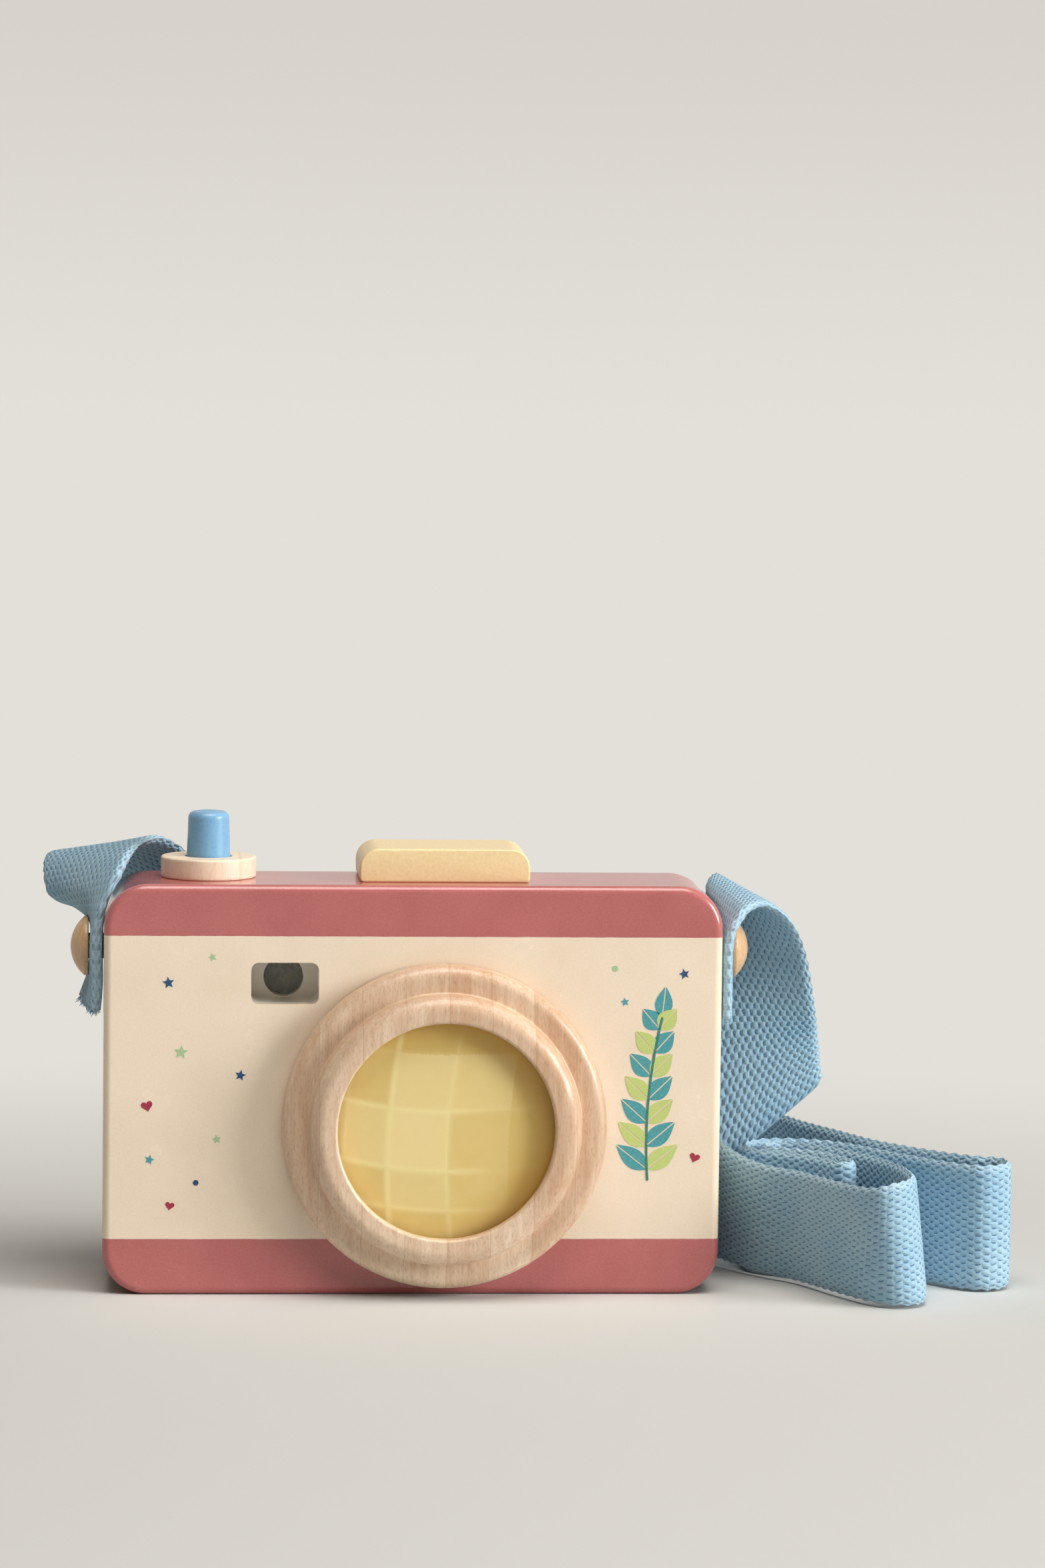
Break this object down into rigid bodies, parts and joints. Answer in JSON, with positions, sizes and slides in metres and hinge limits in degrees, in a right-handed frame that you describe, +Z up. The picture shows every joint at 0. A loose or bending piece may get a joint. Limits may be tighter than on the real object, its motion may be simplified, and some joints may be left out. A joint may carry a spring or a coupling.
{
  "type": "toy camera",
  "caption": "Wooden toy camera with a painted box body, a turned lens ring that spins round a faceted yellow lens, a viewfinder window, a sprung push button and a webbing strap on pegs.",
  "frame": {"origin": "on the base plane, under the middle of the body", "axes": "+X to the right as the picture shows the front, +Y to the back, +Z up"},
  "size_m": [0.1913, 0.1082, 0.0931],
  "materials": {
    "painted_body": "satin paint, cream with red bands",
    "turned_beech": "sanded and clear lacquered",
    "yellow_lens": "clear tinted acrylic, polished",
    "smoked_pane": "smoked acrylic, polished",
    "pale_wood": "sanded",
    "blue_paint": "satin paint",
    "yellow_paint": "satin paint",
    "spring_steel": "drawn wire",
    "webbing": "woven cotton webbing"
  },
  "bodies": {
    "camera": {"main_body": "painted_body", "front_panel": "painted_body", "viewfinder_pane": "smoked_pane", "button_collar": "pale_wood", "button_spring": "spring_steel", "flash_block": "yellow_paint", "flash_dowel_left": "turned_beech", "flash_dowel_right": "turned_beech", "panel_dowel_top_left": "turned_beech", "panel_dowel_top_right": "turned_beech", "panel_dowel_bottom_left": "turned_beech", "panel_dowel_bottom_right": "turned_beech", "strap_peg_left": "turned_beech", "strap_peg_right": "turned_beech", "strap": "webbing"},
    "lens": {"lens_ring": "turned_beech", "faceted_lens": "yellow_lens", "lens_retainer": "turned_beech", "ring_keeper": "turned_beech"},
    "button": {"shutter_button": "blue_paint"}
  },
  "joints": [
    {"name": "lens_turn", "type": "hinge", "parent": "camera", "child": "lens", "pos_m": [0.006, -0.0138, 0.0335], "axis": [0, -1, 0], "continuous": true},
    {"name": "button_press", "type": "slide", "parent": "camera", "child": "button", "axis": [0, 0, -1], "range_m": [0, 0.004], "stiffness_N_per_m": 150, "springref_m": -0.006, "deforming": ["button_spring"]}
  ]
}
